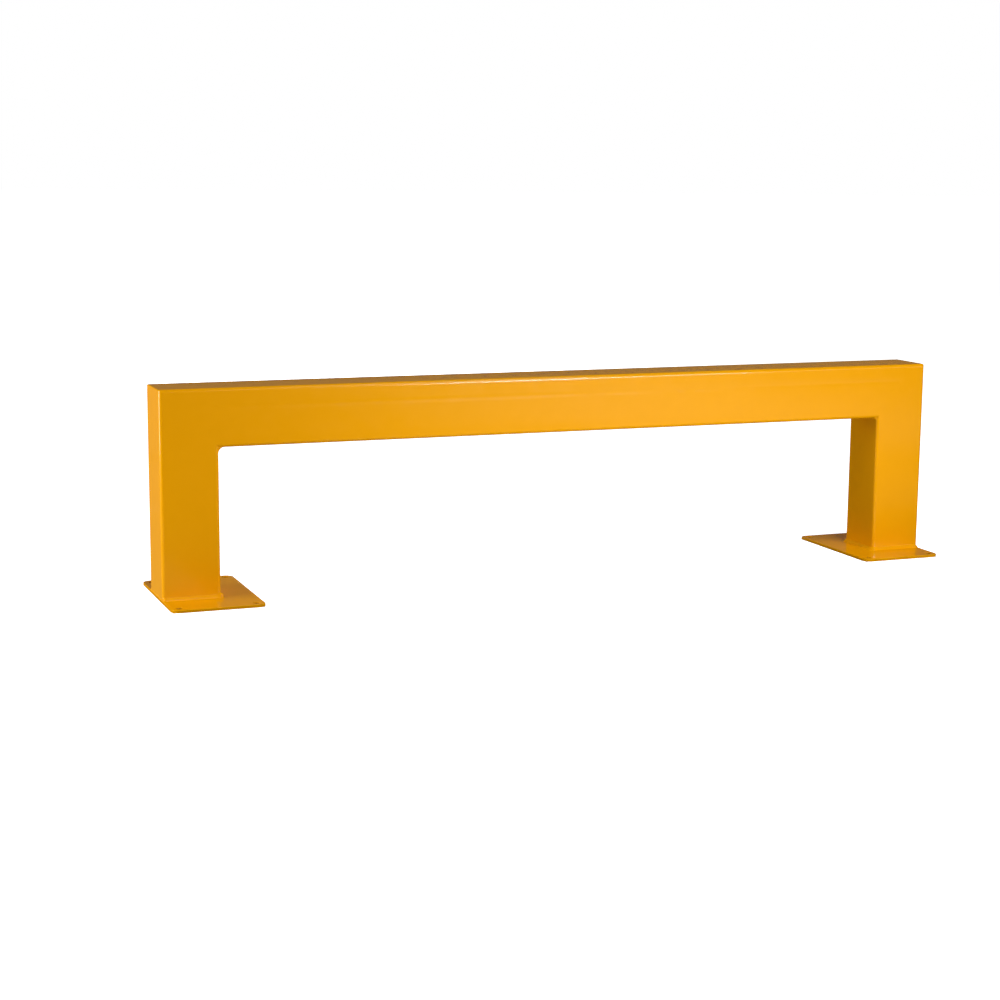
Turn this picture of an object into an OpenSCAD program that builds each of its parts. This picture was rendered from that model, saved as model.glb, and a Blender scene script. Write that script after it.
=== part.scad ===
// Low level protection barrier: a square-tube crossbeam mitred onto two
// square-tube posts, each post welded to a drilled floor plate.
// Millimetres. Origin on the floor under the middle of the barrier,
// +X along the crossbeam, +Y away from the front face, +Z up.

/* [Overall size] */
// Length over the outer faces of the two posts
barrier_length = 1470; // [800:10:2400]
// Height of the crossbeam's top face above the floor
barrier_height = 360; // [300:2:600]

/* [Square tube] */
// Outside width of the square tube
tube_size = 100; // [90:5:120]
// Wall thickness of the tube
tube_wall = 3; // [2:0.5:4]
// Outside corner radius of the tube
tube_radius = 6; // [5:0.5:12]

/* [Base plates] */
// Length of each plate, measured along the barrier from the post's outer face
plate_length = 160; // [150:5:220]
// Depth of each plate, across the barrier
plate_depth = 250; // [200:5:320]
// Thickness of each plate
plate_thickness = 5; // [4:0.5:12]
// Radius of the plate's four upright corner edges
plate_corner_radius = 14; // [4:1:14]

/* [Anchor holes] */
// Diameter of the anchor holes
hole_diameter = 11; // [8:1:14]
// Distance from each hole's centre to the two nearest plate edges
hole_inset = 15; // [13:1:18]

/* [Welds] */
// Leg length of the fillet round each post's foot
foot_weld_leg = 6; // [4:0.5:8]
// Width of the edge bead where the post is flush with the plate's edge
edge_bead_width = 7; // [5:0.5:7]
// How far that edge bead stands out from the post's outer face
edge_bead_rise = 1.5; // [1:0.25:2]
// Width of the butt weld that runs all round each mitre
mitre_weld_width = 3; // [2:0.5:5]
// Leg length of the fillet inside each upper corner
corner_weld_leg = 9; // [6:1:12]

/* [Detail] */
// Number of steps in a full circle
circle_steps = 96; // [48:12:144]

/* [Hidden] */
$fn = circle_steps;

coat = [0.93, 0.62, 0.07];
coat_plate = [0.90, 0.58, 0.06];
coat_weld = [0.96, 0.66, 0.12];

half_length = barrier_length / 2;
half_tube = tube_size / 2;
// height of the crossbeam's underside
beam_bottom = barrier_height - tube_size;
// sideways step, at constant height, from the mitre plane to the weld's edge
weld_step = mitre_weld_width / sqrt(2);
// radius and centre of the edge bead's round back
bead_radius = (pow(edge_bead_width / 2, 2) + pow(edge_bead_rise, 2)) / (2 * edge_bead_rise);
bead_centre_x = -half_length + bead_radius - edge_bead_rise;
// width left at the upper toe of the foot's fillet
weld_toe = 0.25;
// the inside corner's fillet stops short of the tube's side faces
corner_weld_half = half_tube - tube_radius / 2;
// depth by which the fillet follows the tube's rounded edges
corner_weld_tuck = 0.15 * tube_radius;
// radius and centre offset of the fillet's hollow face
hollow_radius = corner_weld_leg * 1.6;
hollow_offset = corner_weld_leg / 2 + sqrt(pow(hollow_radius, 2) - pow(corner_weld_leg, 2) / 2) / sqrt(2);

// ---- profiles -------------------------------------------------------------

module rounded_rect(x, y, r) {
    square([x - 2 * r, y], center = true);
    square([x, y - 2 * r], center = true);
    for (sx = [-1, 1], sy = [-1, 1])
        translate([sx * (x / 2 - r), sy * (y / 2 - r)]) circle(r = r);
}

module tube_profile() {
    difference() {
        rounded_rect(tube_size, tube_size, tube_radius);
        rounded_rect(tube_size - 2 * tube_wall, tube_size - 2 * tube_wall,
                     tube_radius - tube_wall);
    }
}

// straight lengths of stock, before the mitres are cut
module upright_stock() {
    translate([-half_length + half_tube, 0, plate_thickness])
        linear_extrude(height = barrier_height - plate_thickness) tube_profile();
}

module level_stock() {
    translate([0, 0, barrier_height - half_tube])
        rotate([0, 90, 0])
            linear_extrude(height = barrier_length, center = true) tube_profile();
}

// the same two lengths as solid bars, used to trim the welds
module upright_bar() {
    translate([-half_length + half_tube, 0, plate_thickness])
        linear_extrude(height = barrier_height - plate_thickness)
            rounded_rect(tube_size, tube_size, tube_radius);
}

module level_bar() {
    translate([0, 0, barrier_height - half_tube])
        rotate([0, 90, 0])
            linear_extrude(height = barrier_length, center = true)
                rounded_rect(tube_size, tube_size, tube_radius);
}

// plate-like block: outline given in X and Z, thick enough to span the tube
module block_xz(points) {
    rotate([90, 0, 0])
        linear_extrude(height = tube_size + 20, center = true) polygon(points);
}

// X position of the left mitre plane at height z, moved sideways by s
function mitre_x(z, s) = -half_length + (barrier_height - z) + s;

// ---- tubes ----------------------------------------------------------------

module crossbeam() {
    color(coat)
        intersection() {
            level_stock();
            block_xz([[mitre_x(beam_bottom - 5, weld_step), beam_bottom - 5],
                      [-mitre_x(beam_bottom - 5, weld_step), beam_bottom - 5],
                      [-mitre_x(barrier_height + 5, weld_step), barrier_height + 5],
                      [mitre_x(barrier_height + 5, weld_step), barrier_height + 5]]);
        }
}

module post() {
    color(coat)
        intersection() {
            upright_stock();
            block_xz([[-half_length - 5, 0],
                      [-half_length + tube_size + 5, 0],
                      [-half_length + tube_size + 5, beam_bottom - 5 - weld_step],
                      [-half_length - 5, barrier_height + 5 - weld_step]]);
        }
}

// ---- floor plates ---------------------------------------------------------

module base_plate() {
    color(coat_plate)
        translate([-half_length + plate_length / 2, 0, 0])
            difference() {
                linear_extrude(height = plate_thickness)
                    rounded_rect(plate_length, plate_depth, plate_corner_radius);
                for (sx = [-1, 1], sy = [-1, 1])
                    translate([sx * (plate_length / 2 - hole_inset),
                               sy * (plate_depth / 2 - hole_inset), -1])
                        cylinder(d = hole_diameter, h = plate_thickness + 2);
            }
}

// ---- welds ----------------------------------------------------------------

// butt weld in the mitre, ground flush outside, with a fillet in the corner
module mitre_weld() {
    color(coat_weld)
        union() {
            intersection() {
                level_stock();
                block_xz([[mitre_x(beam_bottom - 5, 0), beam_bottom - 5],
                          [mitre_x(beam_bottom - 5, weld_step), beam_bottom - 5],
                          [mitre_x(barrier_height + 5, weld_step), barrier_height + 5],
                          [mitre_x(barrier_height + 5, 0), barrier_height + 5]]);
            }
            intersection() {
                upright_stock();
                block_xz([[mitre_x(beam_bottom - 5, -weld_step), beam_bottom - 5],
                          [mitre_x(beam_bottom - 5, 0), beam_bottom - 5],
                          [mitre_x(barrier_height + 5, 0), barrier_height + 5],
                          [mitre_x(barrier_height + 5, -weld_step), barrier_height + 5]]);
            }
            corner_fillet();
        }
}

module corner_fillet() {
    difference() {
        translate([-half_length + tube_size, 0, beam_bottom])
            rotate([90, 0, 0])
                linear_extrude(height = 2 * corner_weld_half, center = true)
                    difference() {
                        polygon([[-corner_weld_tuck, corner_weld_tuck],
                                 [corner_weld_leg, corner_weld_tuck],
                                 [corner_weld_leg, 0],
                                 [0, -corner_weld_leg],
                                 [-corner_weld_tuck, -corner_weld_leg]]);
                        translate([hollow_offset, -hollow_offset])
                            circle(r = hollow_radius, $fn = 2 * circle_steps);
                    }
        level_bar();
        upright_bar();
    }
}

// fillet round the foot on top of the plate, and the bead along the flush edge
module base_weld() {
    color(coat_weld)
        difference() {
            union() {
                intersection() {
                    translate([-half_length + half_tube, 0, plate_thickness])
                        foot_fillet();
                    translate([-half_length, -tube_size, 0])
                        cube([2 * tube_size, 2 * tube_size, tube_size]);
                }
                translate([bead_centre_x, 0, plate_thickness])
                    rotate([90, 0, 0])
                        cylinder(r = bead_radius, h = tube_size - tube_radius / 2,
                                 center = true);
            }
            upright_bar();
            translate([-half_length, -tube_size, plate_thickness - tube_size])
                cube([2 * tube_size, 2 * tube_size, tube_size]);
        }
}

// bevelled band round the tube: straight sides joined by cone corners
module foot_fillet() {
    flat = tube_size - 2 * tube_radius;
    for (a = [0, 90, 180, 270]) rotate([0, 0, a]) {
        translate([0, flat / 2, 0])
            rotate([90, 0, 0])
                linear_extrude(height = flat)
                    polygon([[half_tube - tube_wall / 2, 0],
                             [half_tube + foot_weld_leg, 0],
                             [half_tube + weld_toe, foot_weld_leg],
                             [half_tube - tube_wall / 2, foot_weld_leg]]);
        translate([half_tube - tube_radius, half_tube - tube_radius, 0])
            cylinder(r1 = tube_radius + foot_weld_leg, r2 = tube_radius + weld_toe,
                     h = foot_weld_leg);
    }
}

// ---- named pieces ---------------------------------------------------------

module to_right() {
    mirror([1, 0, 0]) children();
}

module left_post() { post(); }
module right_post() { to_right() post(); }
module left_base_plate() { base_plate(); }
module right_base_plate() { to_right() base_plate(); }
module left_mitre_weld() { mitre_weld(); }
module right_mitre_weld() { to_right() mitre_weld(); }
module left_base_weld() { base_weld(); }
module right_base_weld() { to_right() base_weld(); }

crossbeam();
left_post();
right_post();
left_base_plate();
right_base_plate();
left_mitre_weld();
right_mitre_weld();
left_base_weld();
right_base_weld();
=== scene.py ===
import math

import bpy
import numpy as np
from mathutils import Matrix, Vector
from mathutils.geometry import delaunay_2d_cdt


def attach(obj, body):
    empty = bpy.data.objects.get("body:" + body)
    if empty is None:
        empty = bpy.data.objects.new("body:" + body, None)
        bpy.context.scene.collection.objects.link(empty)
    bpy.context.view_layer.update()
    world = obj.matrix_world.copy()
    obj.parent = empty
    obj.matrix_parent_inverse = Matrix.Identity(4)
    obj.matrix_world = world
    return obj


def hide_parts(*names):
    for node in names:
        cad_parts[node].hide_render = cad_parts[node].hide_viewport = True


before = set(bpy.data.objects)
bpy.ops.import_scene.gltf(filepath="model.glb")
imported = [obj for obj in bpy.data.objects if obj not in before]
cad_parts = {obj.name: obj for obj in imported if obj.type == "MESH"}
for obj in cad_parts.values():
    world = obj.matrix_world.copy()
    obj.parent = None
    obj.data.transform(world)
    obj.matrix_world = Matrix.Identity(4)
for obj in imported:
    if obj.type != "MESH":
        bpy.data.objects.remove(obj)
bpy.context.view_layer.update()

# ---- sizes, in millimetres, as in the CAD model -----------------------------

HALF_LENGTH = 735.0
HEIGHT = 360.0
TUBE = 100.0
WALL = 3.0
RADIUS = 6.0
PLATE_X = 160.0
PLATE_Y = 250.0
PLATE_Z = 5.0
PLATE_RADIUS = 14.0
HOLE = 11.0
HOLE_INSET = 15.0
LEG = 6.0
STEP = 3.0 / math.sqrt(2.0)
CORNER_HOLLOW = 1.105
BEAD_WIDTH = 7.0
BEAD_RISE = 1.5

TO_METRES = 0.001


# ---- small tools ------------------------------------------------------------

def waves(x, seed, spans, y=None):
    """Smooth repeatable unevenness of about -1..1 with the given wavelengths."""
    rng = np.random.RandomState(seed)
    total = np.zeros(np.broadcast(x, 0.0 if y is None else y).shape)
    weight = 0.0
    for span in spans:
        for _ in range(3):
            k = 2 * math.pi / (span * rng.uniform(0.8, 1.25))
            turn = rng.uniform(0, 2 * math.pi)
            lean = rng.uniform(0, 2 * math.pi)
            if y is None:
                total = total + np.sin(k * x + turn)
            else:
                total = total + np.sin(k * (x * math.cos(lean) + y * math.sin(lean)) + turn)
            weight += 1.0
    return total * 1.6 / weight


def smooth(a, b, x):
    t = np.clip((x - a) / (b - a), 0.0, 1.0)
    return t * t * (3 - 2 * t)


def hump(x, centre, width):
    return np.exp(-((x - centre) / width) ** 2)


class Patchwork:
    """Collects faces of one closed mesh, with a normal for each corner."""

    def __init__(self):
        self.points, self.faces, self.normals, self.count = [], [], [], 0
        self.hole_shade_and_thin = []

    def add(self, pts):
        pts = np.asarray(pts, float).reshape(-1, 3)
        self.points.append(pts)
        self.count += len(pts)
        return np.arange(self.count - len(pts), self.count)

    def face(self, ids, nors):
        self.faces.append([int(i) for i in ids])
        self.normals.extend([tuple(n) for n in nors])

    def grid(self, ids, nor, closed_u=False, closed_v=False, flip=False):
        """Quads between the points of a grid of ids[u][v], with normals nor[u][v]."""
        nu, nv = ids.shape
        for u in range(nu if closed_u else nu - 1):
            a, b = u, (u + 1) % nu
            for v in range(nv if closed_v else nv - 1):
                c, d = v, (v + 1) % nv
                q = [(a, c), (b, c), (b, d), (a, d)]
                if flip:
                    q.reverse()
                self.face([ids[i] for i in q], [nor[i] for i in q])

    def build(self, name, material, mirror=False):
        pts = np.concatenate(self.points)
        nor = np.array(self.normals, float)
        faces = self.faces
        if mirror:
            pts = pts * (-1, 1, 1)
            nor = nor * (-1, 1, 1)
            out, at = [], 0
            order = []
            for f in faces:
                n = len(f)
                out.append(f[::-1])
                order.extend(range(at + n - 1, at - 1, -1))
                at += n
            faces = out
            nor = nor[order]
        mesh = bpy.data.meshes.new(name)
        mesh.from_pydata((pts * TO_METRES).tolist(), [], faces)
        mesh.update()
        mesh.polygons.foreach_set("use_smooth", [True] * len(mesh.polygons))
        nor = nor / np.maximum(np.linalg.norm(nor, axis=1, keepdims=True), 1e-12)
        mesh.normals_split_custom_set([tuple(n) for n in nor.tolist()])
        mesh.materials.append(material)
        # per point: painted shade in the holes, and how thin the coat is there
        hole_shade_and_thin = np.zeros(len(pts), np.float32)
        for ids, value in self.hole_shade_and_thin:
            hole_shade_and_thin[ids] = value
        mesh.attributes.new("hole_shade_and_thin_coat", "FLOAT", "POINT").data.foreach_set("value", hole_shade_and_thin)
        obj = bpy.data.objects.new(name, mesh)
        bpy.context.scene.collection.objects.link(obj)
        return obj


def grid_normals(g, closed_u=False, closed_v=False, flip=False):
    """Normals of a grid of points g[u][v][xyz], by differences."""
    def along(axis, closed):
        if closed:
            return np.roll(g, -1, axis) - np.roll(g, 1, axis)
        d = np.empty_like(g)
        s = [slice(None)] * 3

        def at(k):
            t = list(s)
            t[axis] = k
            return tuple(t)
        d[at(slice(1, -1))] = g[at(slice(2, None))] - g[at(slice(0, -2))]
        d[at(0)] = g[at(1)] - g[at(0)]
        d[at(-1)] = g[at(-1)] - g[at(-2)]
        return d
    n = np.cross(along(0, closed_u), along(1, closed_v))
    n /= np.maximum(np.linalg.norm(n, axis=2, keepdims=True), 1e-12)
    return -n if flip else n


def flat_normal(pts):
    p = np.asarray(pts, float)
    q = np.roll(p, -1, 0)
    n = np.cross(p, q).sum(0)
    return n / max(np.linalg.norm(n), 1e-12)


# ---- the square tube --------------------------------------------------------

# The cross-section is given by y, and by w, the distance in from the frame's
# outer faces: from the top on the crossbeam, and from the end face on a post.

FLAT_CUTS = 44
ARC_CUTS = 12


def section(half, radius):
    """Points of a rounded square (y, w), their normals, and the way round it."""
    rows = []
    flat = half - radius
    # start on the front face at its outer end, and go round: front, inner, back, outer
    sides = [((-half, -flat), (0, 1), (-1, 0)), ((-flat, half), (1, 0), (0, 1)),
             ((half, flat), (0, -1), (1, 0)), ((flat, -half), (-1, 0), (0, -1))]
    for k, (start, run, nor) in enumerate(sides):
        for i in range(FLAT_CUTS):
            t = 2 * flat * i / FLAT_CUTS
            rows.append((start[0] + run[0] * t, start[1] + run[1] * t, nor[0], nor[1]))
        end = (start[0] + run[0] * 2 * flat, start[1] + run[1] * 2 * flat)
        centre = (end[0] - nor[0] * radius, end[1] - nor[1] * radius)
        for i in range(ARC_CUTS):
            a = math.pi / 2 * i / ARC_CUTS
            n = (nor[0] * math.cos(a) + run[0] * math.sin(a),
                 nor[1] * math.cos(a) + run[1] * math.sin(a))
            rows.append((centre[0] + n[0] * radius, centre[1] + n[1] * radius, n[0], n[1]))
    r = np.array(rows)
    r[:, 1] += TUBE / 2
    gap = np.linalg.norm(np.roll(r[:, :2], -1, 0) - r[:, :2], axis=1)
    return r[:, :2], r[:, 2:], np.concatenate([[0], np.cumsum(gap)[:-1]]), gap.sum()


OUT_P, OUT_N, OUT_S, OUT_LONG = section(TUBE / 2, RADIUS)
IN_P, IN_N, IN_S, IN_LONG = section(TUBE / 2 - WALL, RADIUS - WALL)


def face_across():
    """For each section point: which face it belongs to, and where across it, -50 to 50."""
    y, w = OUT_P[:, 0], OUT_P[:, 1] - TUBE / 2
    side = np.zeros(len(y), int)
    across = np.zeros(len(y))
    per = FLAT_CUTS + ARC_CUTS
    for k in range(len(y)):
        i, j = divmod(k, per)
        if j > FLAT_CUTS + ARC_CUTS // 2:
            i = (i + 1) % 4
        side[k] = i
        across[k] = w[k] if i in (0, 2) else y[k]
    return side, across


SIDE, ACROSS = face_across()
EASE = 0.10


def depth(role, run, to_mitre):
    """How far the real surface lies under the ideal one. run and to_mitre go
    along the tube, one value or one per section point; result is [run][section]."""
    run = np.asarray(run, float)
    to_mitre = np.asarray(to_mitre, float)
    a = ACROSS[None, :]
    s = OUT_S[None, :]
    free = smooth(6.0, 40.0, to_mitre)
    # rolled stock: each face eases into its rounded edges
    d = EASE * np.clip((np.abs(a) - 27.0) / 15.0, 0, 1.4) ** 2 * (1 - smooth(42.5, 50.0, np.abs(a)) * 0.35)
    # and is a little hollow or full along its length
    for k in range(4):
        on = (SIDE == k)[None, :] * (1 - smooth(36.0, 46.0, np.abs(a)))
        size = 0.35 if k == 3 else 1.0
        d = d + on * free * 0.045 * size * (1 + waves(run, role * 10 + k, (230.0, 410.0)))
        d = d + on * free * 0.008 * size * (1 + waves(run, role * 10 + k + 50, (46.0, 90.0), y=a * 2.0))
    # the tube's own long seam, scarfed flush: a shallow groove on one face
    seam_side, seam_at = SEAMS[role]
    on = (SIDE == seam_side)[None, :] * free
    groove = 0.22 * hump(a, seam_at, 4.0) + 0.035 * hump(a, seam_at - 8.5, 3.0) + 0.02 * hump(a, seam_at + 11, 2.4)
    d = d + on * groove * (1 + 0.18 * waves(run, role + 90, (60.0, 150.0)))
    return np.maximum(d, 0.0)


def ground(s, to_mitre, spot):
    """Grinding across the mitre: a shallow dish with uneven passes."""
    near = np.exp(-(to_mitre / 9.0) ** 2)
    wide = np.exp(-(to_mitre / 15.0) ** 2)
    d = 0.075 * near * (1 + 0.45 * waves(s, 31 + spot, (19.0, 33.0)))
    d = d + 0.035 * wide * (1 + waves(s, 71 + spot, (9.0, 14.0), y=to_mitre * 1.3))
    return np.maximum(d, 0.0)


# role -> the face with the tube's long seam, and where on it
SEAMS = {0: (0, -18.0), 1: (2, 12.0), 2: (2, -9.0)}


def stations(total, fine_a, fine_b, coarse, edge=34.0):
    """Places along a tube from 0 to total: closer together near its two ends."""
    a = np.arange(0.0, edge, fine_a)
    b = total - np.arange(0.0, edge, fine_b)[::-1]
    n = max(2, int(round((total - 2 * edge) / coarse)))
    mid = np.linspace(edge, total - edge, n, endpoint=False)
    return np.unique(np.round(np.concatenate([a, mid, b, [total]]), 6))


def pushed(points, normals, d, run_dir, run_gap):
    """Moves points in by d along their normals, and leans the normals to suit."""
    ds = np.gradient(np.concatenate([d[:, -1:], d, d[:, :1]], 1), axis=1)[:, 1:-1]
    gap = (np.roll(OUT_S, -1) - np.roll(OUT_S, 1)) % OUT_LONG / 2
    du = np.gradient(d, axis=0) / run_gap
    tangent = np.cross(normals, run_dir)
    tangent /= np.maximum(np.linalg.norm(tangent, axis=2, keepdims=True), 1e-12)
    # which way round the section that tangent points
    step = np.roll(points, -1, 1) - np.roll(points, 1, 1)
    sign = np.sign((step * tangent).sum(2, keepdims=True))
    across = tangent * sign
    n = normals + across * (ds / gap[None, :])[..., None] + run_dir * du[..., None]
    n /= np.linalg.norm(n, axis=2, keepdims=True)
    return points - normals * d[..., None], n


def tube_piece(name, role, material, spots, mirror=False):
    """The crossbeam (role 0) or a post (roles 1, 2, built on the left)."""
    y, w = OUT_P[:, 0], OUT_P[:, 1]
    yi, wi = IN_P[:, 0], IN_P[:, 1]
    part = Patchwork()
    if role == 0:
        t = stations(2 * HALF_LENGTH - TUBE, 2.0, 2.0, 9.0) / (2 * HALF_LENGTH - TUBE)
        lo, hi = -HALF_LENGTH + w + STEP, HALF_LENGTH - w - STEP
        x = lo[None, :] + (hi - lo)[None, :] * t[:, None]
        pts = np.stack([x, np.broadcast_to(y, x.shape), np.broadcast_to(HEIGHT - w, x.shape)], 2)
        nor = np.zeros_like(pts)
        nor[..., 1], nor[..., 2] = OUT_N[:, 0], -OUT_N[:, 1]
        run_dir = np.array([1.0, 0, 0])
        left, right = x - lo[None, :] + STEP, hi[None, :] - x + STEP
        d = depth(role, x, np.minimum(left, right))
        d = d + ground(OUT_S[None, :], left, spots[0]) + ground(OUT_S[None, :], right, spots[1])
        d = d + marks(x, HEIGHT - w[None, :] + 0 * x, (SIDE == 0)[None, :])
        ti = np.linspace(0, 1, 25)
        loi, hii = -HALF_LENGTH + wi + STEP, HALF_LENGTH - wi - STEP
        xi = loi[None, :] + (hii - loi)[None, :] * ti[:, None]
        inner = np.stack([xi, np.broadcast_to(yi, xi.shape), np.broadcast_to(HEIGHT - wi, xi.shape)], 2)
        inner_n = np.zeros_like(inner)
        inner_n[..., 1], inner_n[..., 2] = -IN_N[:, 0], IN_N[:, 1]
        gap = np.gradient(x, axis=0)
        ends = (np.array([-1, 0, -1]) / math.sqrt(2), np.array([1, 0, -1]) / math.sqrt(2))
    else:
        long = HEIGHT - TUBE - PLATE_Z
        t = stations(long, 4.0, 2.0, 7.0) / long
        lo, hi = np.full_like(w, PLATE_Z), HEIGHT - w - STEP
        z = lo[None, :] + (hi - lo)[None, :] * t[:, None]
        pts = np.stack([np.broadcast_to(-HALF_LENGTH + w, z.shape), np.broadcast_to(y, z.shape), z], 2)
        nor = np.zeros_like(pts)
        nor[..., 0], nor[..., 1] = OUT_N[:, 1], OUT_N[:, 0]
        run_dir = np.array([0, 0, 1.0])
        left = hi[None, :] - z + STEP
        d = depth(role, z, left)
        d = d + ground(OUT_S[None, :], left, spots[0])
        if role == 2:
            d = d + marks(HALF_LENGTH - w[None, :] + 0 * z, z, (SIDE == 0)[None, :])
        # welding draws the foot in a little
        d = d + 0.10 * hump(z, 22.0, 13.0) * (1 - smooth(30.0, 42.0, np.abs(ACROSS))[None, :])
        ti = np.linspace(0, 1, 9)
        loi, hii = np.full_like(wi, PLATE_Z), HEIGHT - wi - STEP
        zi = loi[None, :] + (hii - loi)[None, :] * ti[:, None]
        inner = np.stack([np.broadcast_to(-HALF_LENGTH + wi, zi.shape), np.broadcast_to(yi, zi.shape), zi], 2)
        inner_n = np.zeros_like(inner)
        inner_n[..., 0], inner_n[..., 1] = -IN_N[:, 1], -IN_N[:, 0]
        gap = np.gradient(z, axis=0)
        ends = (np.array([0, 0, -1.0]), np.array([1, 0, 1]) / math.sqrt(2))
    out, out_n = pushed(pts, nor, d, run_dir, gap)
    ids = part.add(out).reshape(out.shape[:2])
    inner_ids = part.add(inner).reshape(inner.shape[:2])
    # the section runs front, inner, back, outer: pick the winding that faces out
    probe = flat_normal([out[0, 0], out[1, 0], out[1, 1], out[0, 1]])
    flip = bool(probe @ nor[0, 0] < 0)
    part.grid(ids, out_n, closed_v=True, flip=flip)
    part.grid(inner_ids, inner_n, closed_v=True, flip=not flip)
    close_ends(part, ((ids[0], inner_ids[0], ends[0]), (ids[-1], inner_ids[-1], ends[1])))
    return part.build(name, material, mirror)


def close_ends(part, rings):
    """Joins the outer and the inner ring of points at each end of a tube."""
    pts = np.concatenate(part.points)
    for outer, inner, end in rings:
        n = len(outer)
        for i in range(n):
            j = (i + 1) % n
            q = [outer[i], outer[j], inner[j], inner[i]]
            if i == 0:
                turn = flat_normal(pts[q]) @ end < 0
            part.face(q[::-1] if turn else q, [end] * 4)


def marks(x, z, on):
    """Small blemishes on the front faces that grinding left by the right corner."""
    u = (x - 641.1) * 0.80 + (z - 278.7) * 0.60
    v = -(x - 641.1) * 0.60 + (z - 278.7) * 0.80
    d = 0.16 * np.exp(-(u / 5.0) ** 2 - (v / 2.4) ** 2)
    u = (x - 671.0) * 0.72 + (z - 313.5) * 0.69
    v = -(x - 671.0) * 0.69 + (z - 313.5) * 0.72
    d = d + 0.07 * np.exp(-(u / 12.0) ** 2 - (v / 3.5) ** 2)
    return d * on


def mitre_seam(name, role, material, spot, mirror=False):
    """The butt weld through the tube wall along the mitre, ground flush."""
    part = Patchwork()
    cuts = 8
    ang = np.linspace(0, math.pi / 2, cuts + 1)
    c, s = np.cos(ang)[:, None], np.sin(ang)[:, None]
    y, w = OUT_P[:, 0][None, :], OUT_P[:, 1][None, :]
    ny, nw = OUT_N[:, 0][None, :], OUT_N[:, 1][None, :]
    x = -HALF_LENGTH + w + STEP * (1 - c)
    z = HEIGHT - w - STEP * (1 - s)
    pts = np.stack([x, y + 0 * x, z], 2)
    nor = np.stack([nw * c, ny + 0 * x, -nw * s], 2)
    nor /= np.linalg.norm(nor, axis=2, keepdims=True)
    off = np.abs(ang / (math.pi / 2) * 2 - 1)[:, None] * STEP
    a = np.abs(ACROSS)[None, :]
    ease = EASE * np.clip((a - 27.0) / 15.0, 0, 1.4) ** 2 * (1 - smooth(42.5, 50.0, a) * 0.35)
    # at either edge of the weld the depth is the tube's own there
    d = ease + ground(OUT_S[None, :], off + 0 * x, spot)
    if mirror:
        d = d + marks(-x, z, (SIDE == 0)[None, :])
    out = pts - nor * d[..., None]
    yi, wi = IN_P[:, 0][None, :], IN_P[:, 1][None, :]
    xi = -HALF_LENGTH + wi + STEP * (1 - c)
    zi = HEIGHT - wi - STEP * (1 - s)
    inner = np.stack([xi, yi + 0 * xi, zi], 2)
    inner_n = -np.stack([IN_N[:, 1][None, :] * c, IN_N[:, 0][None, :] + 0 * xi, -IN_N[:, 1][None, :] * s], 2)
    ids = part.add(out).reshape(out.shape[:2])
    inner_ids = part.add(inner).reshape(inner.shape[:2])
    probe = flat_normal([out[0, -3], out[1, -3], out[1, -2], out[0, -2]])
    flip = bool(probe @ nor[0, -3] < 0)
    part.grid(ids, nor, closed_v=True, flip=flip)
    part.grid(inner_ids, inner_n, closed_v=True, flip=not flip)
    slant = np.array([1, 0, 1]) / math.sqrt(2)
    close_ends(part, ((ids[0], inner_ids[0], -slant), (ids[-1], inner_ids[-1], slant)))
    return part.build(name, material, mirror)


# ---- welds ------------------------------------------------------------------

def swept(name, material, rows, shown, mirror=False):
    """A closed bead from rows of cross-section points [station][point][xyz]. The
    first `shown` points of each row are its face, and the rest lie in the metal."""
    part = Patchwork()
    ids = part.add(rows).reshape(rows.shape[:2])
    face = rows[:, :shown]
    n = grid_normals(face)
    mid = rows.mean(1, keepdims=True)
    out = ((face - mid) * n).sum() > 0
    n = n if out else -n
    probe = flat_normal([rows[0, 0], rows[1, 0], rows[1, 1], rows[0, 1]])
    flip = bool((probe @ n[0, 0]) < 0)
    part.grid(ids[:, :shown], n, flip=flip)
    # the hidden side, flat
    back = ids[:, list(range(shown - 1, rows.shape[1])) + [0]]
    pts = rows[:, list(range(shown - 1, rows.shape[1])) + [0]]
    for u in range(back.shape[0] - 1):
        for v in range(back.shape[1] - 1):
            q = [(u, v), (u + 1, v), (u + 1, v + 1), (u, v + 1)]
            if flip:
                q.reverse()
            p = [pts[i] for i in q]
            part.face([back[i] for i in q], [flat_normal(p)] * 4)
    # the two ends, as fans round a middle point
    for u, way in ((0, 1), (rows.shape[0] - 1, -1)):
        hub = part.add([rows[u].mean(0)])[0]
        m = rows.shape[1]
        for v in range(m):
            k = (v + 1) % m
            tri = [ids[u, v], ids[u, k], hub]
            p = [rows[u, v], rows[u, k], rows[u].mean(0)]
            if (way == -1) != flip:
                tri, p = tri[::-1], p[::-1]
            nn = flat_normal(p)
            part.face(tri, [nn] * 3)
    return part.build(name, material, mirror)


def spline(ctrl, count):
    """Points on a clamped cubic B-spline through the ends of ctrl [..., k, 2]."""
    k = ctrl.shape[-2]
    knots = np.concatenate([[0] * 3, np.linspace(0, 1, k - 2), [1] * 3])
    t = np.linspace(0, 1, count)
    basis = np.zeros((count, k))
    for j in range(count):
        u = min(t[j], 1 - 1e-9)
        b = np.zeros(len(knots) - 1)
        b[np.searchsorted(knots, u, side="right") - 1] = 1
        for p in range(1, 4):
            nb = np.zeros(len(knots) - 1 - p)
            for i in range(len(nb)):
                left = (u - knots[i]) / (knots[i + p] - knots[i]) * b[i] if knots[i + p] > knots[i] else 0
                right = ((knots[i + p + 1] - u) / (knots[i + p + 1] - knots[i + 1]) * b[i + 1]
                         if knots[i + p + 1] > knots[i + 1] else 0)
                nb[i] = left + right
            b = nb
        basis[j] = b
    return np.einsum("jk,...kd->...jd", basis, ctrl)


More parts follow.
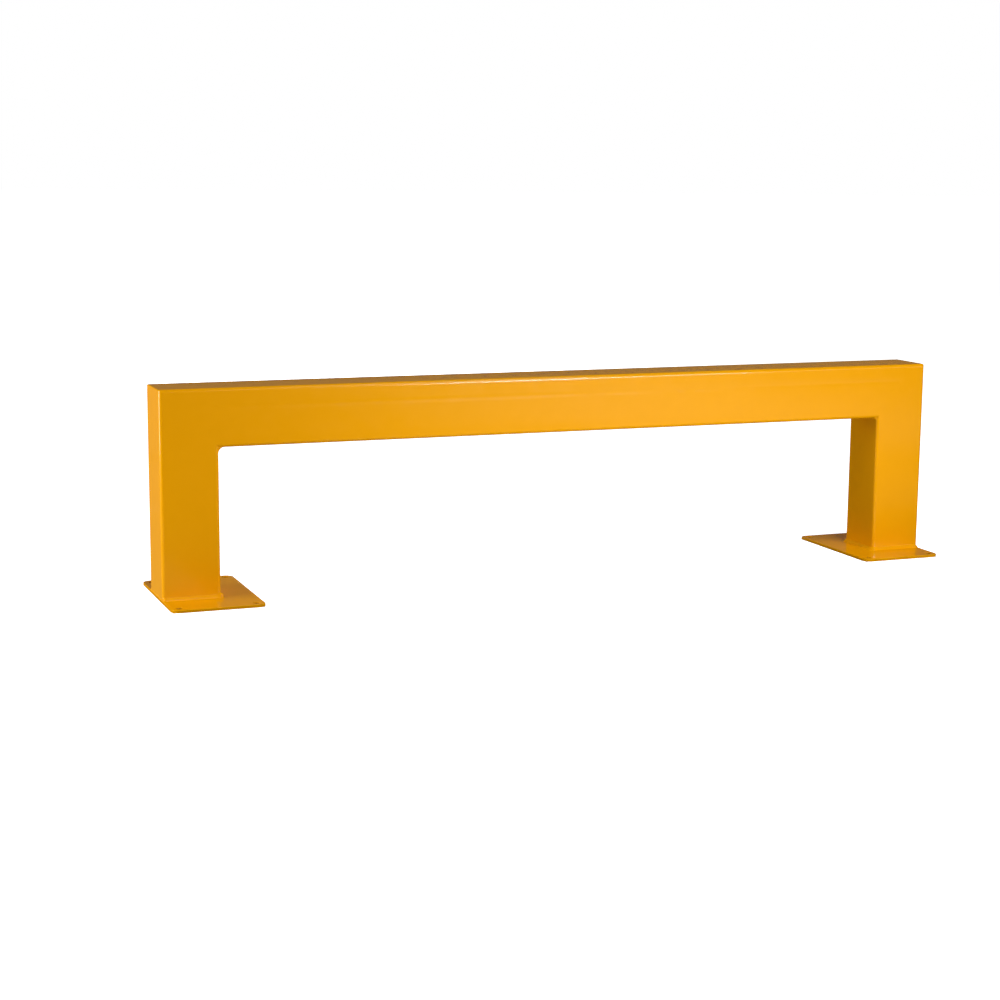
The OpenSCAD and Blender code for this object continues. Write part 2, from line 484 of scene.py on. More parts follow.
def ripples(s, t, seed, pitch=2.5):
    """Scale-like crescents along a bead: s along it, t across it from 0 to 1."""
    drift = s + 0.9 * waves(s, seed, (13.0, 29.0))
    phase = (drift + 2.4 * (2 * t - 1) ** 2) / pitch
    saw = phase - np.floor(phase)
    shape = np.where(saw < 0.72, saw / 0.72, (1 - saw) / 0.28)
    shape = shape * shape * (3 - 2 * shape)
    return (shape - 0.5) * np.sin(math.pi * t) ** 0.8


def foot_weld(name, material, seed, blobs, mirror=False):
    """The fillet round a post's foot, on the plate, built on the left foot."""
    flat = TUBE - 2 * RADIUS
    # the way round: part of the outer front corner, front, corner, inner, corner, back, part corner
    s, pts, nor, room = [], [], [], []
    gap = 0.42
    centre_x = -HALF_LENGTH + TUBE / 2
    length = 0.0

    def arc(cx, cy, a0, a1):
        nonlocal length
        n = int(math.ceil(abs(a1 - a0) * (RADIUS + LEG * 0.5) / gap))
        for i in range(n):
            a = a0 + (a1 - a0) * i / n
            d = (math.cos(a), math.sin(a))
            pts.append((cx + d[0] * RADIUS, cy + d[1] * RADIUS))
            nor.append(d)
            s.append(length)
            length += abs(a1 - a0) * (RADIUS + LEG * 0.5) / n

    def line(x0, y0, x1, y1, d):
        nonlocal length
        n = int(round(math.hypot(x1 - x0, y1 - y0) / gap))
        for i in range(n):
            t = i / n
            pts.append((x0 + (x1 - x0) * t, y0 + (y1 - y0) * t))
            nor.append(d)
            s.append(length)
            length += math.hypot(x1 - x0, y1 - y0) / n

    h = flat / 2
    arc(centre_x - h, -h, math.radians(184), math.radians(270))
    line(centre_x - h, -TUBE / 2, centre_x + h, -TUBE / 2, (0, -1))
    arc(centre_x + h, -h, math.radians(270), math.radians(360))
    line(centre_x + TUBE / 2, -h, centre_x + TUBE / 2, h, (1, 0))
    arc(centre_x + h, h, 0, math.radians(90))
    line(centre_x + h, TUBE / 2, centre_x - h, TUBE / 2, (0, 1))
    arc(centre_x - h, h, math.radians(90), math.radians(176.001))
    s, pts, nor = np.array(s), np.array(pts), np.array(nor)
    # the plate's edge limits the leg where the fillet turns to the flush side
    toward = np.maximum(-nor[:, 0], 1e-6)
    room = np.where(nor[:, 0] < -1e-6, (HALF_LENGTH - 0.15 + pts[:, 0]) / toward, 1e3)
    uneven = 0.35 * waves(s, seed, (17.0, 41.0)) + 0.12 * waves(s, seed + 1, (6.0, 9.0))
    leg = LEG - 1.0 + uneven
    rise = LEG - 0.8 + 0.30 * waves(s, seed + 2, (21.0, 37.0))
    bulge = np.zeros_like(s)
    for where, size, width in blobs:
        at = where * length
        bulge = bulge + size * hump(s, at, width)
        leg = leg + 0.25 * size * hump(s, at, width * 1.2)
        rise = rise + 0.90 * size * hump(s, at, width * 1.2)
    toe = 1.2
    tight = np.clip((room - 0.05) / (leg + toe), 0.02, 1.0)
    leg = leg * tight
    rise = rise * (0.55 + 0.45 * tight)
    z = np.zeros_like(s)
    full = 0.60
    ctrl = np.stack([
        np.stack([leg + toe * tight, z], 1),
        np.stack([leg + 0.10 * tight, z + 0.03], 1),
        np.stack([leg * (full + 0.16), rise * (full - 0.24)], 1),
        np.stack([leg * (full - 0.24), rise * (full + 0.16)], 1),
        np.stack([z + 0.03, rise + 0.10], 1),
        np.stack([z, rise + toe * 0.8], 1)], 1)
    count = 17
    curve = spline(ctrl, count)
    t = np.linspace(0, 1, count)
    push = (bulge[:, None] * np.sin(math.pi * t)[None, :] ** 1.4
            + 0.20 * tight[:, None] * ripples(s[:, None], t[None, :], seed + 3))
    slope = np.gradient(curve, axis=1)
    side = np.stack([slope[..., 1], -slope[..., 0]], 2)
    side /= np.maximum(np.linalg.norm(side, axis=2, keepdims=True), 1e-9)
    side[side.sum(2) < 0] *= -1
    curve = curve + side * push[..., None]
    # never past the plate's outer edge, into the plate or into the post
    curve[..., 0] = np.minimum(np.maximum(curve[..., 0], 0.0), room[:, None])
    curve[..., 1] = np.maximum(curve[..., 1], 0.0)
    sunk = 0.35
    hidden = np.stack([
        np.stack([z - sunk, curve[:, -1, 1]], 1),
        np.stack([z - sunk, z - sunk], 1),
        np.stack([curve[:, 0, 0], z - sunk], 1)], 1)
    # the visible toes start a hair inside the metal
    curve[:, 0, 1] -= 0.03
    curve[:, -1, 0] -= 0.03
    both = np.concatenate([curve, hidden], 1)
    rows = np.empty(both.shape[:2] + (3,))
    rows[..., 0] = pts[:, None, 0] + nor[:, None, 0] * both[..., 0]
    rows[..., 1] = pts[:, None, 1] + nor[:, None, 1] * both[..., 0]
    rows[..., 2] = PLATE_Z + both[..., 1]
    return swept(name, material, rows, count, mirror)


def edge_bead(name, material, seed, mirror=False):
    """The low bead along the plate's edge where the post stands flush with it."""
    half = (TUBE - RADIUS / 2) / 2
    y = np.arange(-half, half + 0.01, 0.42)
    count = 15
    t = np.linspace(0, 1, count)
    end = np.clip((half - np.abs(y)) / 5.0, 0, 1)
    swell = np.sqrt(np.clip(1 - (1 - end) ** 2, 0.003, 1))
    wide = (BEAD_WIDTH - 0.5 + 0.5 * waves(y, seed, (15.0, 35.0))) * (0.35 + 0.65 * swell)
    proud = (BEAD_RISE - 0.38 + 0.14 * waves(y, seed + 1, (11.0, 27.0))) * swell
    low = PLATE_Z + 0.25 * waves(y, seed + 2, (25.0, 60.0)) - wide / 2
    low = np.maximum(low, 1.2)
    across = np.sin(math.pi * t)[None, :] ** 1.15
    push = proud[:, None] * across + 0.13 * swell[:, None] * ripples(y[:, None], t[None, :], seed + 3, 2.7)
    push = np.clip(push, -0.02, BEAD_RISE - 0.06)
    push[:, 0] = push[:, -1] = -0.02
    rows = np.empty((len(y), count + 2, 3))
    rows[:, :count, 0] = -HALF_LENGTH - push
    rows[:, :count, 1] = y[:, None]
    rows[:, :count, 2] = low[:, None] + wide[:, None] * t[None, :]
    rows[:, count, :] = rows[:, count - 1, :] + (0.45, 0, 0)
    rows[:, count + 1, :] = rows[:, 0, :] + (0.45, 0, 0)
    return swept(name, material, rows, count, mirror)


def corner_fillet(name, material, seed, full, mirror=False):
    """The fillet in the opening's upper corner, under the beam, on the left."""
    half = TUBE / 2 - RADIUS / 2
    y = np.arange(-half, half + 0.01, 0.42)
    count = 19
    t = np.linspace(0, 1, count)
    end = np.clip((half - np.abs(y)) / 3.0, 0, 1)
    size = 0.22 + 0.78 * np.sqrt(np.clip(1 - (1 - end) ** 2, 0, 1))
    leg = (full - 0.35 + 0.35 * waves(y, seed, (14.0, 37.0))) * size
    back = np.clip(np.abs(y) - (TUBE / 2 - RADIUS), 0, RADIUS)
    shy = RADIUS - np.sqrt(RADIUS ** 2 - back ** 2)
    c = 0.5 + math.sqrt(CORNER_HOLLOW ** 2 - 0.5) / math.sqrt(2)
    a0 = math.atan2(-c, 1 - c)
    a1 = math.atan2(1 - c, -c)
    if a1 > a0:
        a1 -= 2 * math.pi
    ang = a0 + (a1 - a0) * t
    p0 = c + CORNER_HOLLOW * np.cos(ang)
    q0 = c + CORNER_HOLLOW * np.sin(ang)
    ramp = 0.22 * size[:, None] * ripples(y[:, None], t[None, :], seed + 1, 2.6)
    p = p0[None, :] * leg[:, None] + ramp / math.sqrt(2) - shy[:, None] * (1 - t[None, :] * 0) * (1 - np.clip(p0, 0, 1))[None, :]
    q = q0[None, :] * leg[:, None] + ramp / math.sqrt(2) - shy[:, None] * (1 - np.clip(q0, 0, 1))[None, :]
    p[:, -1], q[:, 0] = -shy - 0.03, -shy - 0.03
    sunk = 0.5
    hp = np.stack([-shy - sunk, -shy - sunk, p[:, 0]], 1)
    hq = np.stack([q[:, -1], -shy - sunk, -shy - sunk], 1)
    p, q = np.concatenate([p, hp], 1), np.concatenate([q, hq], 1)
    rows = np.empty(p.shape + (3,))
    rows[..., 0] = -HALF_LENGTH + TUBE + p
    rows[..., 1] = y[:, None]
    rows[..., 2] = HEIGHT - TUBE - q
    return swept(name, material, rows, count, mirror)


# ---- floor plates -----------------------------------------------------------

def floor_plate(name, material, mirror=False):
    """A plate with rounded corners, eased edges and four anchor holes."""
    part = Patchwork()
    cx = -HALF_LENGTH + PLATE_X / 2
    top_ease, low_ease, soft = 0.75, 0.35, 6

    def rim():
        """(inset, height, outward part, upward part) from the bottom face to the top face."""
        rows = []
        for i in range(soft + 1):
            a = math.pi / 2 * i / soft
            rows.append((low_ease * (1 - math.sin(a)), low_ease * (1 - math.cos(a)), math.sin(a), -math.cos(a)))
        for i in range(soft + 1):
            a = math.pi / 2 * i / soft
            rows.append((top_ease * (1 - math.cos(a)), PLATE_Z - top_ease * (1 - math.sin(a)), math.cos(a), math.sin(a)))
        return rows

    def outline():
        pts, nor = [], []
        hx, hy = PLATE_X / 2 - PLATE_RADIUS, PLATE_Y / 2 - PLATE_RADIUS
        corners = [(-hx, -hy, 180), (hx, -hy, 270), (hx, hy, 0), (-hx, hy, 90)]
        for k, (x, y, a0) in enumerate(corners):
            for i in range(21):
                a = math.radians(a0 + 90 * i / 20)
                nor.append((math.cos(a), math.sin(a)))
                pts.append((x + PLATE_RADIUS * math.cos(a), y + PLATE_RADIUS * math.sin(a)))
            nx, ny, na = corners[(k + 1) % 4]
            a = math.radians(na)
            end = (nx + PLATE_RADIUS * math.cos(a), ny + PLATE_RADIUS * math.sin(a))
            start, n = pts[-1], nor[-1]
            cuts = max(2, int(round(math.hypot(end[0] - start[0], end[1] - start[1]) / 7.0)))
            for i in range(1, cuts):
                t = i / cuts
                pts.append((start[0] + (end[0] - start[0]) * t, start[1] + (end[1] - start[1]) * t))
                nor.append(n)
        return np.array(pts), np.array(nor)

    profile = rim()
    loops = [(outline(), 1.0)]
    for sx in (-1, 1):
        for sy in (-1, 1):
            a = np.linspace(0, 2 * math.pi, 64, endpoint=False)
            d = np.stack([np.cos(a), np.sin(a)], 1)
            at = np.array([sx * (PLATE_X / 2 - HOLE_INSET), sy * (PLATE_Y / 2 - HOLE_INSET)])
            loops.append(((at + d * HOLE / 2, -d), -1.0))
    low_rings, top_rings = [], []
    for (pts, nor), way in loops:
        ring_ids, ring_n = [], []
        for inset, height, out, up in profile:
            p = pts - nor * inset
            ids = part.add(np.column_stack([p[:, 0] + cx, p[:, 1], np.full(len(p), height)]))
            ring_ids.append(ids)
            ring_n.append(np.column_stack([nor * out, np.full(len(p), up)]))
            if way < 0:
                # the spray hardly reaches into the holes, so the coat there is thin; the hole walls also get painted
                # shade
                part.hole_shade_and_thin.append((ids, float(smooth(0.2, 1.6, PLATE_Z - height))))
        ids, nn = np.array(ring_ids), np.array(ring_n)
        g = np.concatenate(part.points)[ids]
        probe = flat_normal([g[6, 0], g[7, 0], g[7, 1], g[6, 1]])
        part.grid(ids, nn, closed_v=True, flip=bool(probe @ nn[6, 0] < 0))
        low_rings.append(ids[0])
        top_rings.append(ids[-1])
    all_pts = np.concatenate(part.points)
    for rings, height, up in ((low_rings, 0.0, -1.0), (top_rings, PLATE_Z, 1.0)):
        ids = np.concatenate(rings)
        flat = all_pts[ids][:, :2]
        edges, at = [], 0
        for r in rings:
            n = len(r)
            edges += [(at + i, at + (i + 1) % n) for i in range(n)]
            at += n
        inner = []
        step = 7.5
        for i, gx in enumerate(np.arange(cx - PLATE_X / 2 + 6, cx + PLATE_X / 2 - 5, step)):
            for gy in np.arange(-PLATE_Y / 2 + 6 + (i % 2) * step / 2, PLATE_Y / 2 - 5, step):
                if np.hypot(flat[:, 0] - gx, flat[:, 1] - gy).min() > 4.2:
                    far = [math.hypot(gx - cx - sx * (PLATE_X / 2 - HOLE_INSET), gy - sy * (PLATE_Y / 2 - HOLE_INSET))
                           for sx in (-1, 1) for sy in (-1, 1)]
                    if min(far) > HOLE / 2 + 3:
                        inner.append((gx, gy))
        inner_ids = part.add([(a, b, height) for a, b in inner])
        ids = np.concatenate([ids, inner_ids])
        flat = np.concatenate([flat, np.array(inner)])
        got = delaunay_2d_cdt([Vector(p) for p in flat], edges, [], 0, 1e-7)
        back = [o[0] if o else None for o in got[3]]
        # which ring each point is on: a triangle with all three on one hole's ring fills the hole
        ring_of = np.concatenate([np.full(len(r), i) for i, r in enumerate(rings)] + [np.full(len(inner), -1)])
        for tri in got[2]:
            k = [back[v] for v in tri]
            p = flat[k]
            if ring_of[k[0]] > 0 and ring_of[k[0]] == ring_of[k[1]] == ring_of[k[2]]:
                continue
            turn = (p[1, 0] - p[0, 0]) * (p[2, 1] - p[0, 1]) - (p[1, 1] - p[0, 1]) * (p[2, 0] - p[0, 0])
            if turn * up < 0:
                k = k[::-1]
            part.face([ids[i] for i in k], [(0, 0, up)] * 3)
    return part.build(name, material, mirror)


# ---- materials --------------------------------------------------------------

def link(nt, a, b):
    nt.links.new(a, b)


def add(nt, kind, **values):
    n = nt.nodes.new(kind)
    for key, value in values.items():
        if key in n.inputs.keys():
            n.inputs[key].default_value = value
        else:
            setattr(n, key, value)
    return n


def noise(nt, where, scale, detail=2.0, rough=0.5, stretch=None):
    if stretch is not None:
        m = add(nt, "ShaderNodeMapping")
        m.inputs["Scale"].default_value = stretch
        link(nt, where, m.inputs["Vector"])
        where = m.outputs["Vector"]
    n = add(nt, "ShaderNodeTexNoise", Scale=scale, Detail=detail, Roughness=rough)
    link(nt, where, n.inputs["Vector"])
    return n.outputs["Fac"]


def maths(nt, op, a, b=None, c=None, clamp=False):
    n = add(nt, "ShaderNodeMath", operation=op, use_clamp=clamp)
    for k, v in enumerate((a, b, c)):
        if v is None:
            continue
        if isinstance(v, (int, float)):
            n.inputs[k].default_value = v
        else:
            link(nt, v, n.inputs[k])
    return n.outputs[0]


def powder_coat(name, deep, bright, rough, peel, edge_lines=False):
    """Gloss powder coat: a fine orange peel, slight cloudiness and grain."""
    mat = bpy.data.materials.new(name)
    mat.use_nodes = True
    nt = mat.node_tree
    nt.nodes.clear()
    out = add(nt, "ShaderNodeOutputMaterial")
    bsdf = add(nt, "ShaderNodeBsdfPrincipled")
    link(nt, bsdf.outputs[0], out.inputs[0])
    at = add(nt, "ShaderNodeTexCoord").outputs["Object"]
    cloud = noise(nt, at, 3.2, 2.0)
    mottle = noise(nt, at, 46.0, 3.0, 0.55)
    grain = noise(nt, at, 820.0, 1.0)
    speck = noise(nt, at, 310.0, 0.0)
    # the colour: mostly one yellow, a little deeper and lighter in places
    tone = maths(nt, "MULTIPLY_ADD", cloud, 0.50, -0.25)
    tone = maths(nt, "MULTIPLY_ADD", mottle, 0.34, tone)
    tone = maths(nt, "MULTIPLY_ADD", grain, 0.30, tone)
    tone = maths(nt, "ADD", tone, 0.18, clamp=True)
    mix = add(nt, "ShaderNodeMix", data_type="RGBA")
    col_in = [s for s in mix.inputs if s.type == "RGBA"]
    col_in[0].default_value = (*deep, 1)
    col_in[1].default_value = (*bright, 1)
    link(nt, tone, mix.inputs[0])
    colour = [s for s in mix.outputs if s.type == "RGBA"][0]
    # inside the holes the coat is thin and dull, and its colour is darkened as painted shade for the shade in the
    # holes
    hole_shade_and_thin = add(nt, "ShaderNodeAttribute", attribute_name="hole_shade_and_thin_coat").outputs["Fac"]
    hole_shade_mix = add(nt, "ShaderNodeMix", data_type="RGBA")
    tints = [s for s in hole_shade_mix.inputs if s.type == "RGBA"]
    link(nt, colour, tints[0])
    tints[1].default_value = (deep[0] * 0.34, deep[1] * 0.25, deep[2], 1)
    link(nt, hole_shade_and_thin, hole_shade_mix.inputs[0])
    colour = [s for s in hole_shade_mix.outputs if s.type == "RGBA"][0]
    # rare tiny nibs of dust under the coat
    nib = maths(nt, "GREATER_THAN", speck, 0.80)
    link(nt, colour, bsdf.inputs["Base Color"])
    r = maths(nt, "MULTIPLY_ADD", mottle, 0.10, rough - 0.05)
    r = maths(nt, "MULTIPLY_ADD", grain, 0.05, maths(nt, "SUBTRACT", r, 0.025))
    r = maths(nt, "MULTIPLY_ADD", hole_shade_and_thin, 0.30, r)
    link(nt, r, bsdf.inputs["Roughness"])
    # orange peel
    wide = noise(nt, at, 300.0, 1.0)
    fine = noise(nt, at, 760.0, 1.0)
    height = maths(nt, "MULTIPLY_ADD", fine, 0.35, wide)
    height = maths(nt, "MULTIPLY_ADD", nib, 0.25, height)
    if edge_lines:
        # cut edges keep faint upright lines under the coat
        facing = add(nt, "ShaderNodeSeparateXYZ")
        link(nt, add(nt, "ShaderNodeNewGeometry").outputs["Normal"], facing.inputs[0])
        upright = maths(nt, "LESS_THAN", maths(nt, "ABSOLUTE", facing.outputs[2]), 0.35)
        lines = noise(nt, at, 900.0, 1.0, 0.5, (1.0, 1.0, 0.05))
        height = maths(nt, "ADD", height, maths(nt, "MULTIPLY", maths(nt, "MULTIPLY", upright, lines), 1.3))
    bump = add(nt, "ShaderNodeBump", Strength=1.0, Distance=peel)
    link(nt, height, bump.inputs["Height"])
    link(nt, bump.outputs[0], bsdf.inputs["Normal"])
    bsdf.inputs["IOR"].default_value = 1.5
    bsdf.inputs["Specular IOR Level"].default_value = 0.5
    return mat


DEEP = (0.745, 0.313, 0.0005)
BRIGHT = (0.835, 0.355, 0.0009)
coat = powder_coat("powder_coat_tube", DEEP, BRIGHT, 0.14, 2.0e-5)
coat_plate = powder_coat("powder_coat_floor_plate", DEEP, BRIGHT, 0.13, 1.8e-5, edge_lines=True)
coat_weld = powder_coat("powder_coat_welds", DEEP, BRIGHT, 0.16, 1.6e-5)

# ---- the pieces -------------------------------------------------------------

made = []


def fit(obj, slot, *nodes):
    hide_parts(*nodes)
    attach(obj, "root")
    made.append(obj)
    return obj


fit(tube_piece("crossbeam_tube", 0, coat, (0, 5)), "powder_coat", "crossbeam")
fit(tube_piece("left_post_tube", 1, coat, (0,)), "powder_coat", "left_post")
fit(tube_piece("right_post_tube", 2, coat, (5,), mirror=True), "powder_coat", "right_post")
fit(floor_plate("left_floor_plate", coat_plate), "powder_coat_plate", "left_base_plate")
fit(floor_plate("right_floor_plate", coat_plate, mirror=True), "powder_coat_plate", "right_base_plate")
fit(mitre_seam("left_mitre_seam", 1, coat, 0), "powder_coat_weld", "left_mitre_weld")
fit(mitre_seam("right_mitre_seam", 2, coat, 5, mirror=True), "powder_coat_weld", "right_mitre_weld")
fit(corner_fillet("left_corner_fillet", coat_weld, 11, 10.5), "powder_coat_weld", "left_mitre_weld")
fit(corner_fillet("right_corner_fillet", coat_weld, 17, 7.0, mirror=True), "powder_coat_weld", "right_mitre_weld")
# (share of the way round, size, width) of the lumps where a run stopped or started
fit(foot_weld("left_foot_weld", coat_weld, 23, [(0.338, 3.0, 3.8), (0.030, 1.2, 3.0), (0.66, 0.6, 4.0)]),
    "powder_coat_weld", "left_base_weld")
fit(foot_weld("right_foot_weld", coat_weld, 37, [(0.05, 0.7, 4.0), (0.335, 0.5, 4.0), (0.70, 0.8, 4.0)], mirror=True),
    "powder_coat_weld", "right_base_weld")
fit(edge_bead("left_edge_bead", coat_weld, 41), "powder_coat_weld", "left_base_weld")
fit(edge_bead("right_edge_bead", coat_weld, 53, mirror=True), "powder_coat_weld", "right_base_weld")

# ---- camera -----------------------------------------------------------------

YAW, PITCH, ROLL = 0.37297, 0.16925, 0.00831
look = Vector((math.sin(YAW) * math.cos(PITCH), math.cos(YAW) * math.cos(PITCH), -math.sin(PITCH)))
level = Vector((math.cos(YAW), -math.sin(YAW), 0.0))
above = level.cross(look)
cam_x = level * math.cos(ROLL) + above * math.sin(ROLL)
cam_y = -level * math.sin(ROLL) + above * math.cos(ROLL)
cam_data = bpy.data.cameras.new("camera")
cam_data.sensor_width = 36.0
cam_data.lens = 72.2160
cam_data.clip_start, cam_data.clip_end = 0.05, 200.0
camera = bpy.data.objects.new("camera", cam_data)
camera.matrix_world = Matrix((
    (cam_x.x, cam_y.x, -look.x, -1.4043),
    (cam_x.y, cam_y.y, -look.y, -3.3028),
    (cam_x.z, cam_y.z, -look.z, 0.7412),
    (0, 0, 0, 1)))
bpy.context.scene.collection.objects.link(camera)
bpy.context.scene.camera = camera

# ---- floor, backdrop and light ----------------------------------------------

def studio_floor():
    """A wide pale floor. Only the camera sees it: the coat mirrors the dim room."""
    rings, turns = [0.0, 0.6, 1.2, 2.5, 5.0, 10.0, 20.0, 40.0], 64
    pts, faces = [(0.0, 0.0, 0.0)], []
    for r in rings[1:]:
        for k in range(turns):
            a = 2 * math.pi * k / turns
            pts.append((r * math.cos(a), r * math.sin(a), 0.0))
    for k in range(turns):
        faces.append((0, 1 + k, 1 + (k + 1) % turns))
    for j in range(len(rings) - 2):
        a, b = 1 + j * turns, 1 + (j + 1) * turns
        for k in range(turns):
            m = (k + 1) % turns
            faces.append((a + k, b + k, b + m, a + m))
    mesh = bpy.data.meshes.new("studio_floor")
    mesh.from_pydata(pts, [], faces)
    mat = bpy.data.materials.new("studio_floor_paper")
    mat.use_nodes = True
    nt = mat.node_tree
    nt.nodes.clear()
    out = add(nt, "ShaderNodeOutputMaterial")
    paper = add(nt, "ShaderNodeBsdfDiffuse")
    glow = add(nt, "ShaderNodeEmission")
    glow.inputs["Color"].default_value = (1, 1, 1, 1)
    # paler with distance; under the floor plates the paper is painted near black and has no glow: painted shade, seen
    # through the holes
    at = add(nt, "ShaderNodeSeparateXYZ")
    link(nt, add(nt, "ShaderNodeTexCoord").outputs["Object"], at.inputs[0])
    x, y = (maths(nt, "ABSOLUTE", at.outputs[k]) for k in (0, 1))
    far = maths(nt, "SQRT", maths(nt, "ADD", maths(nt, "MULTIPLY", x, x), maths(nt, "MULTIPLY", y, y)))
    ramp = add(nt, "ShaderNodeMapRange", interpolation_type="SMOOTHSTEP")
    for key, value in zip(("From Min", "From Max", "To Min", "To Max"), (0.9, 4.0, FLOOR_GLOW, 1.0)):
        ramp.inputs[key].default_value = value
    link(nt, far, ramp.inputs["Value"])
    under = maths(nt, "MULTIPLY", maths(nt, "GREATER_THAN", x, 0.577),
                  maths(nt, "MULTIPLY", maths(nt, "LESS_THAN", x, 0.733), maths(nt, "LESS_THAN", y, 0.123)))
    shade = add(nt, "ShaderNodeMix", data_type="RGBA")
    tints = [k for k in shade.inputs if k.type == "RGBA"]
    tints[0].default_value = (0.86, 0.86, 0.86, 1)
    # painted shade: near black paper under the plates
    tints[1].default_value = (0.02, 0.018, 0.015, 1)
    link(nt, under, shade.inputs[0])
    link(nt, [k for k in shade.outputs if k.type == "RGBA"][0], paper.inputs["Color"])
    link(nt, maths(nt, "MULTIPLY", ramp.outputs[0], maths(nt, "SUBTRACT", 1.0, under)), glow.inputs["Strength"])
    both = add(nt, "ShaderNodeAddShader")
    link(nt, paper.outputs[0], both.inputs[0])
    link(nt, glow.outputs[0], both.inputs[1])
    link(nt, both.outputs[0], out.inputs[0])
    mat.cycles.emission_sampling = "NONE"
    mesh.materials.append(mat)
    obj = bpy.data.objects.new("studio_floor", mesh)
    bpy.context.scene.collection.objects.link(obj)
    obj.visible_diffuse = False
    obj.visible_glossy = False
    obj.visible_transmission = False
    return obj


FLOOR_GLOW = 0.95
studio_floor()


def room(camera_sees, around):
    """The world: white paper to the camera, a dim room to the coat's reflections."""
    world = bpy.data.worlds.new("studio_room")
    bpy.context.scene.world = world
    world.use_nodes = True
    nt = world.node_tree
    nt.nodes.clear()
    out = add(nt, "ShaderNodeOutputWorld")
    pale = add(nt, "ShaderNodeBackground")
    pale.inputs["Color"].default_value = (*camera_sees, 1)
    dim = add(nt, "ShaderNodeBackground")
    dim.inputs["Color"].default_value = (*around, 1)
    mix = add(nt, "ShaderNodeMixShader")
    link(nt, add(nt, "ShaderNodeLightPath").outputs["Is Camera Ray"], mix.inputs[0])
    link(nt, dim.outputs[0], mix.inputs[1])
    link(nt, pale.outputs[0], mix.inputs[2])
    link(nt, mix.outputs[0], out.inputs[0])


room((1.0, 1.0, 1.0), (0.012, 0.012, 0.012))


def softbox(name, azimuth, elevation, away, size, power, aim=(0.0, 0.0, 0.2), glossy=True):
    """A square area light. Azimuth 0 is in front (-Y), 90 to the right (+X)."""
    data = bpy.data.lights.new(name, "AREA")
    data.shape = "RECTANGLE"
    data.size, data.size_y = size
    data.energy = power
    obj = bpy.data.objects.new(name, data)
    a, e = math.radians(azimuth), math.radians(elevation)
    aim = Vector(aim)
    way = Vector((math.sin(a) * math.cos(e), -math.cos(a) * math.cos(e), math.sin(e)))
    # lights in exactly one plane would hide each other, so the washes stand further off
    obj.location = aim + way * (away if glossy else away + 0.03)
    obj.rotation_mode = "QUATERNION"
    obj.rotation_quaternion = way.to_track_quat("Z", "Y")
    bpy.context.scene.collection.objects.link(obj)
    obj.visible_camera = False
    obj.visible_glossy = glossy
    return obj


def paper_card(name, x, y, z, size, power, glossy=True):
    """Light thrown back by the white paper on the floor, as an area light facing up."""
    obj = softbox(name, 0, 0, 0.0, size, power, glossy=glossy)
    obj.location = (x, y, z)
    obj.rotation_quaternion = (0.0, 1.0, 0.0, 0.0)
    return obj


POST = (-0.735, 0.0, 0.22)
BEAM = (0.3, 0.0, 0.25)
EDGE = (0.0, -0.05, 0.352)
softbox("high_front", 30, 60, 3.0, (1.0, 0.7), 5.0)
softbox("high_front_wash", 30, 60, 3.0, (1.0, 0.7), 24.4, glossy=False)
softbox("upper_front", 15, 35, 3.0, (1.4, 1.0), 1.6)
softbox("upper_front_wash", 15, 35, 3.0, (1.4, 1.0), 41.0, glossy=False)
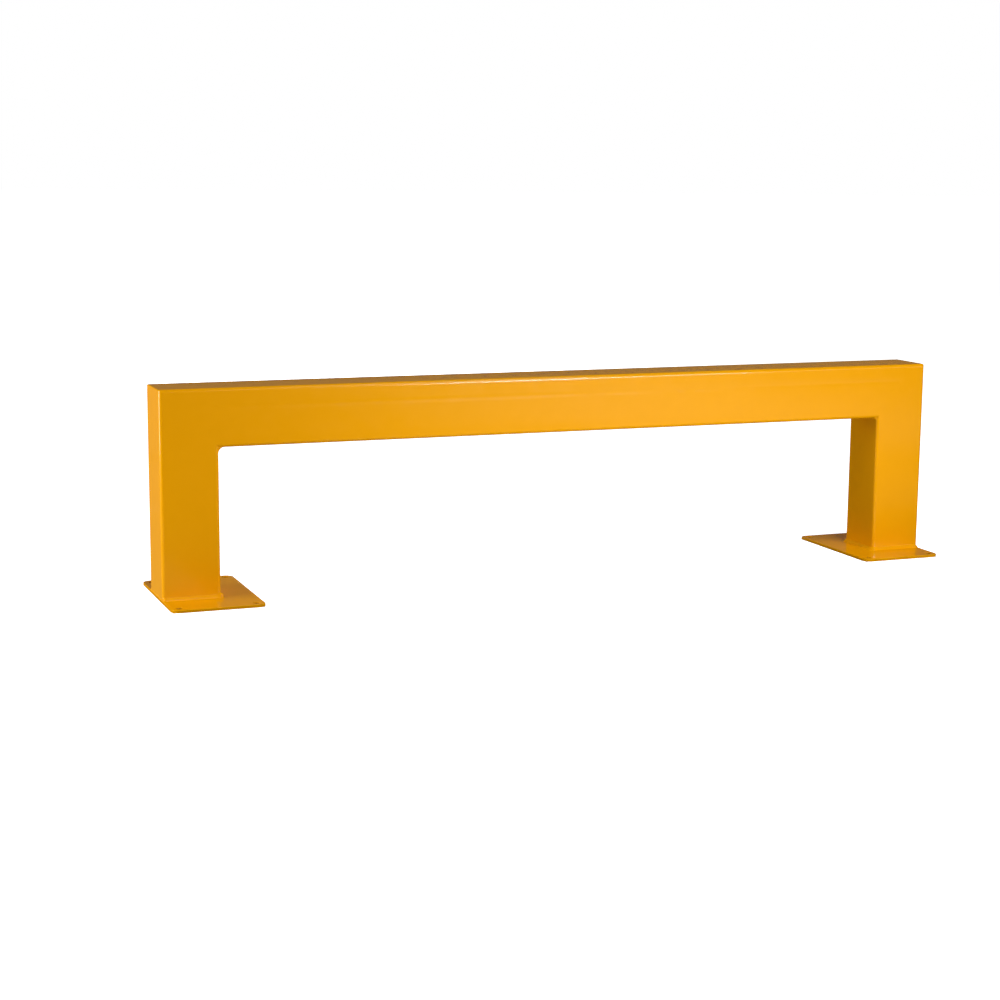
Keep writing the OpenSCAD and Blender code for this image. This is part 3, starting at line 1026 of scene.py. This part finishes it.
# two bright strips that only the gloss shows, as the pale line along the upper edge
for strip in (softbox("low_front", 20, 6, 3.0, (0.55, 0.22), 32.0, aim=EDGE),
              softbox("low_front_right", 29, 5, 3.0, (0.6, 0.22), 12.0, aim=EDGE)):
    strip.visible_diffuse = False
softbox("low_front_wash", 20, 6, 3.0, (0.55, 0.3), 11.5, aim=EDGE, glossy=False)
softbox("low_front_right_wash", 27, 2, 3.0, (0.55, 0.3), 4.5, aim=EDGE, glossy=False)
softbox("front_middle", 10, 10, 2.0, (0.9, 0.6), 0.8, aim=BEAM)
softbox("front_middle_wash", 10, 10, 2.0, (0.9, 0.6), 2.1, aim=BEAM, glossy=False)
softbox("front_right", 35, 12, 2.0, (0.9, 0.6), 1.39, aim=BEAM)
softbox("left_low", -100, 2, 1.8, (0.8, 0.6), 13.2, aim=POST)
softbox("left_low_wash", -100, 2, 1.8, (0.8, 0.6), 16.92, aim=POST, glossy=False)
softbox("left_high", -85, 25, 1.8, (0.8, 0.6), 20.1, aim=POST)
softbox("back_middle_wash", 180, 20, 6.0, (3.0, 1.0), 98.53, glossy=False)
softbox("back_low_wash", 172, 1, 4.0, (2.0, 0.4), 30.0, glossy=False)
softbox("back_upper_right_wash", 150, 50, 1.5, (0.6, 0.4), 2.0, aim=(0.45, 0.0, 0.36), glossy=False)
softbox("back_low_left", -165, 3, 1.8, (0.9, 0.4), 0.09, aim=(-0.735, 0.0, 0.08))
paper_card("paper_front_far", 1.0988, -2.3564, 0.004, (1.2, 1.2), 1.25)
paper_card("paper_front_right", 1.4, -1.8, 0.006, (1.2, 1.2), 1.56)
paper_card("paper_right_foot", 1.0, -0.68, 0.008, (0.5, 0.5), 0.09)
paper_card("paper_near_wash", 0.175, -0.4, 0.002, (1.15, 0.35), 3.24, glossy=False)
paper_card("paper_near_left_wash", -1.08, -0.4, 0.006, (0.55, 0.35), 0.9, glossy=False)
paper_card("paper_near_foot_wash", -0.4, -0.25, 0.01, (0.3, 0.3), 0.17, glossy=False)
paper_card("paper_left", -1.3, 0.2, 0.006, (1.3, 1.3), 0.35)
paper_card("paper_left_wash", -1.3, 0.2, 0.004, (1.3, 1.3), 2.19, glossy=False)
paper_card("paper_left_back", -1.2, 1.15, 0.01, (0.7, 0.7), 0.12)
# a tall pale wall far behind: all that the top face mirrors
back_wall = softbox("back_wall", 0, 0, 0.0, (7.5, 1.4), 2.1)
back_wall.location = (2.75, 6.0, 0.9)
back_wall.rotation_quaternion = (math.sqrt(0.5), -math.sqrt(0.5), 0.0, 0.0)

scene = bpy.context.scene
scene.view_settings.view_transform = "Standard"
scene.view_settings.look = "None"
scene.view_settings.exposure = 0.0
scene.view_settings.gamma = 1.0
